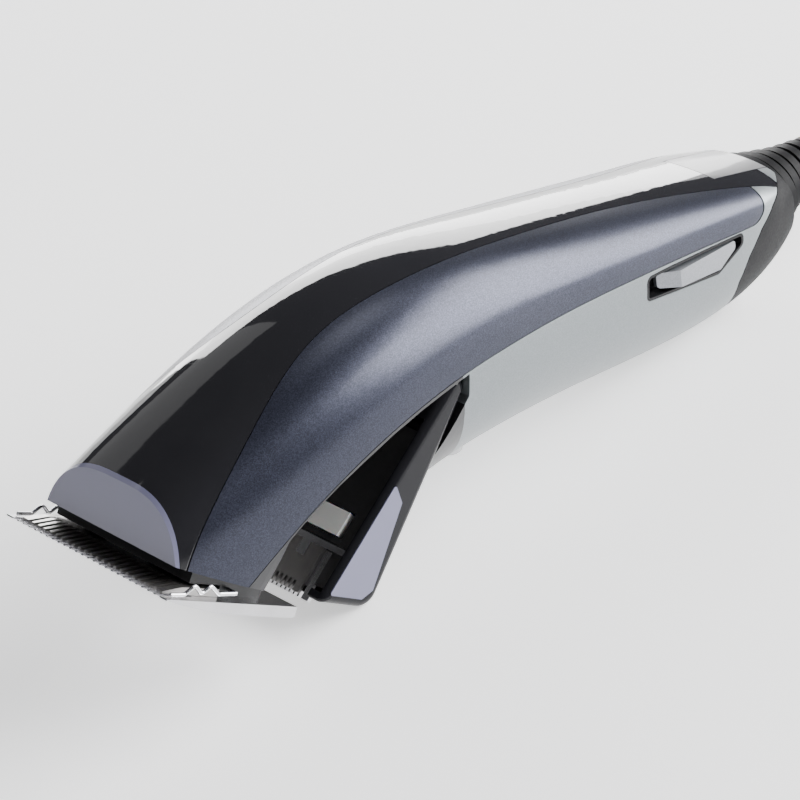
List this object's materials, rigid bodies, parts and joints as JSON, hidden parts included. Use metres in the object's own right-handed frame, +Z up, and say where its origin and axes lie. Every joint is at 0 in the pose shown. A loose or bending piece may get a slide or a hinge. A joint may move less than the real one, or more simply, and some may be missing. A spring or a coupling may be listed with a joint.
{
  "type": "hair clipper",
  "caption": "Handheld mains hair clipper with a wide toothed blade, side switch, ribbed cord boot and a hinged detail trimmer folded out under the head.",
  "frame": {"origin": "middle of the length and width, on the table it lies on: the open trimmer's lower corner and the belly of the handle touch Z = 0", "axes": "+X from the blade to the cord, +Z up with the blade's cutting face down, -Y is the left side, which carries the switch"},
  "size_m": [0.2213, 0.046, 0.0555],
  "materials": {
    "cover_black": "moulded plastic, high gloss black",
    "panel_blue": "satin metallic slate-blue paint on plastic",
    "housing_silver": "satin silver-grey paint on plastic",
    "trim_lilac": "glossy lavender-grey plastic",
    "cap_dark": "glossy dark grey plastic",
    "recess_black": "gloss black plastic",
    "button_silver": "silver painted plastic",
    "inner_black": "matt black nylon",
    "blade_steel": "ground and polished stainless steel",
    "cutter_steel": "ground carbon steel",
    "screw_steel": "plated steel",
    "spring_chrome": "chromed spring wire",
    "acetal_white": "white acetal",
    "motor_zinc": "zinc plated steel",
    "board_green": "glass-fibre laminate, green solder mask",
    "parts_black": "electronic components",
    "boot_rubber": "black soft PVC"
  },
  "bodies": {
    "housing": {"lower_housing": "housing_silver", "top_cover": "cover_black", "left_side_panel": "panel_blue", "right_side_panel": "panel_blue", "nose_trim": "trim_lilac", "tail_cap": "cap_dark", "switch_bezel": "recess_black", "slide_switch": "parts_black", "fixed_blade": "blade_steel", "blade_carrier": "inner_black", "blade_screws": "screw_steel", "blade_spring": "spring_chrome", "lever_pivot_pin": "screw_steel", "motor_can": "motor_zinc", "motor_end_cap": "inner_black", "motor_cradle": "inner_black", "motor_clamps": "motor_zinc", "cord_boot": "boot_rubber", "cord_clamp": "inner_black", "circuit_board": "board_green", "board_parts": "parts_black", "housing_screws": "screw_steel"},
    "switch": {"switch_button": "button_silver"},
    "rotor": {"motor_shaft": "screw_steel", "drive_eccentric": "screw_steel"},
    "lever": {"drive_lever": "acetal_white"},
    "cutter": {"moving_blade": "cutter_steel", "cam_follower": "acetal_white"},
    "trimmer": {"trimmer_cover": "cover_black", "trimmer_left_accent": "trim_lilac", "trimmer_right_accent": "trim_lilac", "trimmer_base": "inner_black", "trimmer_fixed_blade": "blade_steel", "trimmer_blade_spring": "spring_chrome", "trimmer_hinge_pins": "screw_steel"},
    "trimmer_cutter": {"trimmer_moving_blade": "cutter_steel", "trimmer_yoke": "acetal_white"}
  },
  "joints": [
    {"name": "switch_slide", "type": "slide", "parent": "housing", "child": "switch", "axis": [-1, 0, 0], "range_m": [0, 0.003]},
    {"name": "motor_spin", "type": "hinge", "parent": "housing", "child": "rotor", "pos_m": [-0.021, 0, 0.03], "axis": [1, 0, 0], "continuous": true},
    {"name": "lever_rock", "type": "hinge", "parent": "housing", "child": "lever", "pos_m": [-0.066, 0, 0.0388], "axis": [-0.2079, 0, 0.9781], "range_deg": [-2.15, 2.15]},
    {"name": "cutter_stroke", "type": "slide", "parent": "housing", "child": "cutter", "axis": [0, 1, 0], "range_m": [-0.0013, 0.0013]},
    {"name": "trimmer_hinge", "type": "hinge", "parent": "housing", "child": "trimmer", "pos_m": [-0.034, 0, 0.033], "axis": [0, 1, 0], "range_deg": [0, 21.5]},
    {"name": "trimmer_stroke", "type": "slide", "parent": "trimmer", "child": "trimmer_cutter", "axis": [0, 1, 0], "range_m": [-0.0008, 0.0008]}
  ],
  "couplings": [
    {"joint": "cutter_stroke", "follows": "lever_rock", "m_per_rad": -0.033739}
  ]
}
